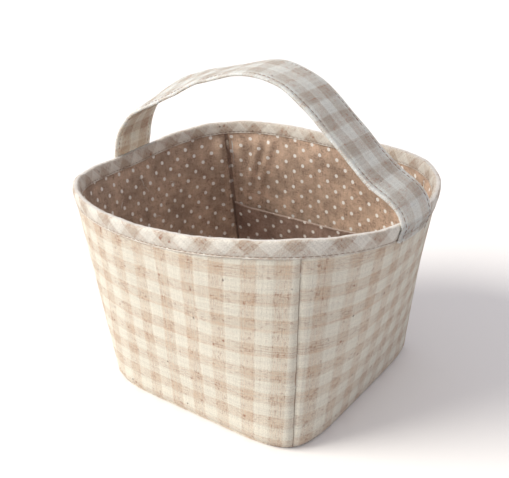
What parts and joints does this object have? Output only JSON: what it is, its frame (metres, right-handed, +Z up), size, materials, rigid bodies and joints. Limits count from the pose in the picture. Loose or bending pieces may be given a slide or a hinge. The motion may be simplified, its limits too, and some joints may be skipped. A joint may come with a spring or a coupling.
{
  "type": "fabric storage bin",
  "caption": "Soft lined fabric bin with a rounded-square base, flared walls, bias-bound open rim, an inner pocket and one arched strap handle.",
  "frame": {"origin": "centre of the base on the floor", "axes": "+Z up, the handle spans along X, the pocket is on the +Y wall"},
  "size_m": [0.2232, 0.1954, 0.1933],
  "materials": {
    "gingham": "matte woven linen check",
    "bias_gingham": "matte woven linen check, cut on the bias",
    "strap_gingham": "matte woven linen check",
    "dotted_lining": "matte brown linen with small white dots",
    "padding": "matte felted wadding",
    "thread": "matte sewing thread"
  },
  "bodies": {
    "bin": {"outer_panel_front": "gingham", "padding_panel_front": "padding", "lining_panel_front": "dotted_lining", "outer_panel_right": "gingham", "padding_panel_right": "padding", "lining_panel_right": "dotted_lining", "outer_panel_back": "gingham", "padding_panel_back": "padding", "lining_panel_back": "dotted_lining", "outer_panel_left": "gingham", "padding_panel_left": "padding", "lining_panel_left": "dotted_lining", "outer_base": "gingham", "base_stiffener": "padding", "lining_base": "dotted_lining", "pocket_panel": "dotted_lining", "rim_binding": "bias_gingham", "binding_stitch_outer": "thread", "binding_stitch_inner": "thread", "corner_seam_threads": "thread", "lining_seam_threads": "thread", "base_seam_thread": "thread", "lining_base_seam_thread": "thread", "handle_end_left": "strap_gingham", "handle_end_right": "strap_gingham", "handle_end_core_left": "padding", "handle_end_core_right": "padding", "handle_end_stitch_left": "thread", "handle_end_stitch_right": "thread"},
    "handle": {"handle_sleeve": "strap_gingham", "handle_core": "padding", "handle_topstitch_near": "thread", "handle_topstitch_far": "thread"}
  },
  "joints": [
    {"name": "handle_fold", "type": "hinge", "parent": "bin", "child": "handle", "pos_m": [0, 0, 0.146], "axis": [1, 0, 0], "range_deg": [-85, 85]}
  ]
}
